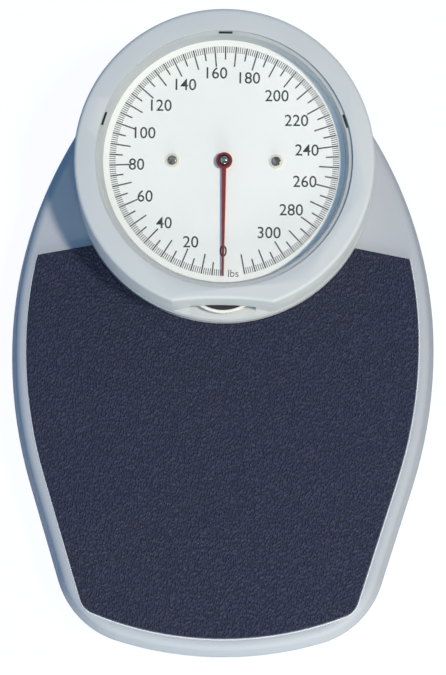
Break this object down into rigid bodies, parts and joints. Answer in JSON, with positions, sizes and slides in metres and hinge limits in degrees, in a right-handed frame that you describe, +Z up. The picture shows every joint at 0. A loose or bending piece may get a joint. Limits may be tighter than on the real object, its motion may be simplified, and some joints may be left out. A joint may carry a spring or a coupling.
{
  "type": "mechanical floor scale",
  "caption": "Raised-dial mechanical floor scale: rounded platform with rubber tread, round tilted dial head, zero wheel, and a lever, spring and rack movement inside.",
  "frame": {"origin": "at floor level, in the middle of the scale's length and width", "axes": "+Z up, +Y from the front edge towards the dial head, +X to the right as the user faces the dial"},
  "size_m": [0.323, 0.4778, 0.1186],
  "materials": {
    "platform_enamel": "light grey baked enamel",
    "pan_enamel": "grey baked enamel",
    "head_plastic": "light blue-grey moulded plastic, satin",
    "mat_rubber": "dark navy rubber with a fine leather grain",
    "foot_rubber": "black rubber",
    "clear_plastic": "clear moulded window",
    "dial_white": "white matt enamel",
    "pointer_red": "red lacquer",
    "bright_metal": "polished",
    "washer_white": "white plastic",
    "wheel_dark": "dark moulded plastic",
    "wheel_light": "pale moulded plastic",
    "clip_black": "black plastic",
    "plated_steel": "zinc plated",
    "spring_steel": "oiled spring wire",
    "movement_brass": "machined",
    "screw_steel": "zinc plated"
  },
  "bodies": {
    "base": {"base_pan": "pan_enamel", "foot_front_left": "foot_rubber", "foot_front_right": "foot_rubber", "foot_rear_left": "foot_rubber", "foot_rear_right": "foot_rubber", "fulcrum_bracket_front_left": "plated_steel", "fulcrum_bracket_front_right": "plated_steel", "fulcrum_bracket_rear_left": "plated_steel", "fulcrum_bracket_rear_right": "plated_steel", "bridge_frame": "plated_steel", "bridge_screws": "screw_steel", "spring_bracket": "plated_steel", "spring_bracket_screws": "screw_steel", "crank_ears": "plated_steel", "crank_pin": "plated_steel", "crank_bracket_screws": "screw_steel", "head_base": "head_plastic", "head_screws": "screw_steel", "bezel": "head_plastic", "bezel_screws": "screw_steel", "lens": "clear_plastic", "lens_clips": "clip_black", "dial_plate": "dial_white", "dial_spacers": "movement_brass", "dial_washers": "washer_white", "dial_screws": "bright_metal", "movement_upper_plate": "movement_brass", "movement_bracket": "movement_brass", "movement_pillars": "movement_brass", "movement_screws": "screw_steel", "pointer_bushes": "movement_brass", "rack_guides": "movement_brass"},
    "platform": {"platform_cover": "platform_enamel", "tread_mat": "mat_rubber", "load_bracket_front_left": "plated_steel", "load_bracket_front_right": "plated_steel", "load_bracket_rear_left": "plated_steel", "load_bracket_rear_right": "plated_steel"},
    "long_lever_left": {"long_lever_left": "plated_steel", "long_lever_pins_left": "plated_steel"},
    "long_lever_right": {"long_lever_right": "plated_steel", "long_lever_pins_right": "plated_steel"},
    "short_lever_left": {"short_lever_left": "plated_steel", "short_lever_pins_left": "plated_steel"},
    "short_lever_right": {"short_lever_right": "plated_steel", "short_lever_pins_right": "plated_steel"},
    "load_plate": {"load_plate": "plated_steel", "draw_rod": "plated_steel", "main_spring": "spring_steel"},
    "bell_crank": {"bell_crank": "plated_steel"},
    "rack": {"rack": "movement_brass"},
    "pointer": {"pointer": "pointer_red", "pointer_cap": "bright_metal", "pinion_shaft": "movement_brass"},
    "zero_wheel": {"zero_wheel": "wheel_dark", "zero_wheel_rim": "wheel_light"},
    "suspension_bolt": {"suspension_bolt": "plated_steel"}
  },
  "joints": [
    {"name": "platform_travel", "type": "slide", "parent": "base", "child": "platform", "axis": [0, 0, -1], "range_m": [0, 0.0024], "stiffness_N_per_m": 590000, "springref_m": -0.00004},
    {"name": "long_lever_left_tilt", "type": "hinge", "parent": "base", "child": "long_lever_left", "pos_m": [-0.10224, -0.175, 0.02], "axis": [-0.9258, 0.378, 0], "range_deg": [0, 2.98]},
    {"name": "long_lever_right_tilt", "type": "hinge", "parent": "base", "child": "long_lever_right", "pos_m": [0.10224, -0.175, 0.02], "axis": [-0.9258, -0.378, 0], "range_deg": [0, 2.98]},
    {"name": "short_lever_left_tilt", "type": "hinge", "parent": "base", "child": "short_lever_left", "pos_m": [-0.08509, 0.16191, 0.02], "axis": [0.846, 0.5332, 0], "range_deg": [0, 5.23]},
    {"name": "short_lever_right_tilt", "type": "hinge", "parent": "base", "child": "short_lever_right", "pos_m": [0.08509, 0.16191, 0.02], "axis": [0.846, -0.5332, 0], "range_deg": [0, 5.23]},
    {"name": "load_plate_fall", "type": "slide", "parent": "base", "child": "load_plate", "axis": [0, 0, -1], "range_m": [0, 0.012], "deforming": ["main_spring"]},
    {"name": "bell_crank_swing", "type": "hinge", "parent": "base", "child": "bell_crank", "pos_m": [0, 0.0935, 0.038], "axis": [1, 0, 0], "range_deg": [0, 28.65]},
    {"name": "rack_stroke", "type": "slide", "parent": "base", "child": "rack", "axis": [0, -0.9945, -0.1045], "range_m": [0, 0.01828]},
    {"name": "pointer_turn", "type": "hinge", "parent": "base", "child": "pointer", "pos_m": [0, 0.1212, 0.1075], "axis": [0, 0.1045, -0.9945], "range_deg": [0, 349.11]},
    {"name": "zero_wheel_turn", "type": "hinge", "parent": "base", "child": "zero_wheel", "pos_m": [0, 0.0442, 0.066], "axis": [0, 0, 1], "range_deg": [-360, 360]},
    {"name": "suspension_bolt_lift", "type": "slide", "parent": "base", "child": "suspension_bolt", "axis": [0, 0, 1], "range_m": [-0.00151, 0.00151]}
  ],
  "couplings": [
    {"joint": "long_lever_left_tilt", "follows": "platform_travel", "rad_per_m": 21.662},
    {"joint": "long_lever_right_tilt", "follows": "platform_travel", "rad_per_m": 21.662},
    {"joint": "short_lever_left_tilt", "follows": "platform_travel", "rad_per_m": 38.036},
    {"joint": "short_lever_right_tilt", "follows": "platform_travel", "rad_per_m": 38.036},
    {"joint": "load_plate_fall", "follows": "platform_travel", "ratio": 5},
    {"joint": "bell_crank_swing", "follows": "platform_travel", "rad_per_m": 208.33},
    {"joint": "rack_stroke", "follows": "platform_travel", "ratio": 7.6162},
    {"joint": "pointer_turn", "follows": "platform_travel", "rad_per_m": 2538.7},
    {"joint": "suspension_bolt_lift", "follows": "zero_wheel_turn", "m_per_rad": 0.00023873}
  ]
}
